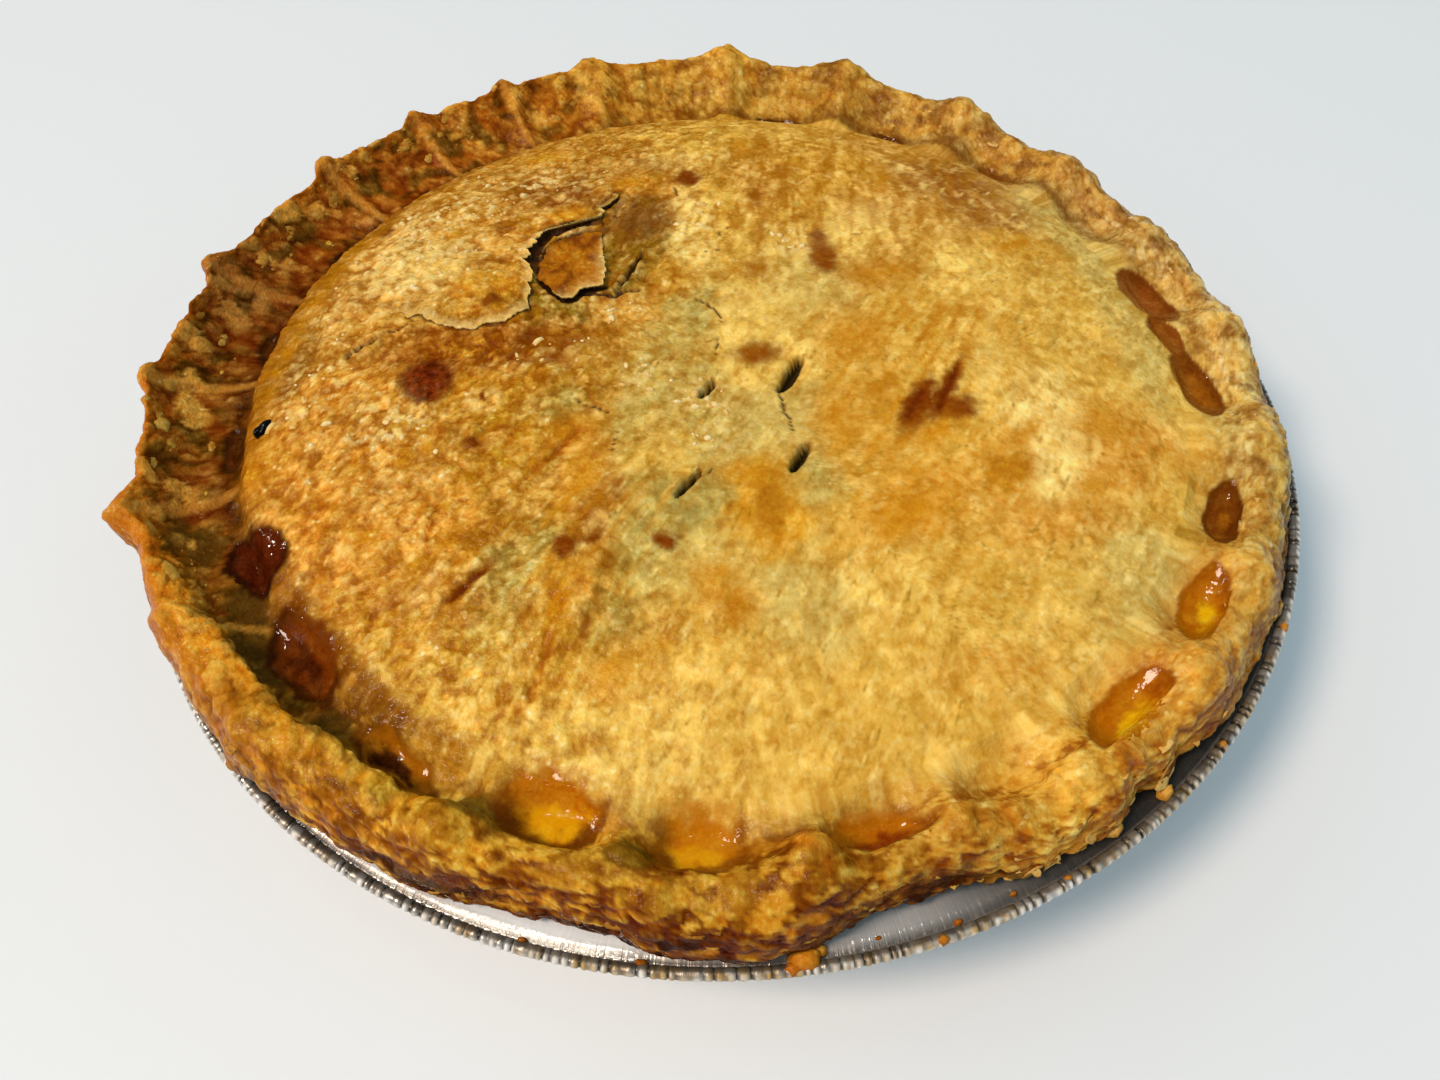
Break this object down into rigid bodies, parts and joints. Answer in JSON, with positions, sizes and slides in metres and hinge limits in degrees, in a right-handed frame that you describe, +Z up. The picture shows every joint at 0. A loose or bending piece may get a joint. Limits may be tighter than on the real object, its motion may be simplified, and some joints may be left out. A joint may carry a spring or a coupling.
{
  "type": "tourtiere",
  "caption": "Round double-crust meat pie with a thumb-crimped rim, egg-washed hollows and steam vents in its domed lid, standing in its own flanged foil tin.",
  "frame": {"origin": "middle of the tin's flat underside", "axes": "+Z up through the middle of the lid; -Y is the side nearest the viewer in the picture, where the foil flange shows; +X is to the viewer's right"},
  "size_m": [0.2444, 0.2444, 0.0527],
  "materials": {
    "crust": "baked shortcrust pastry, golden brown and uneven, glossy where egg wash pooled",
    "foil": "bright pressed foil with a ribbed rolled edge"
  },
  "bodies": {
    "root": {"pie": "crust", "foil_tin": "foil"}
  },
  "joints": []
}
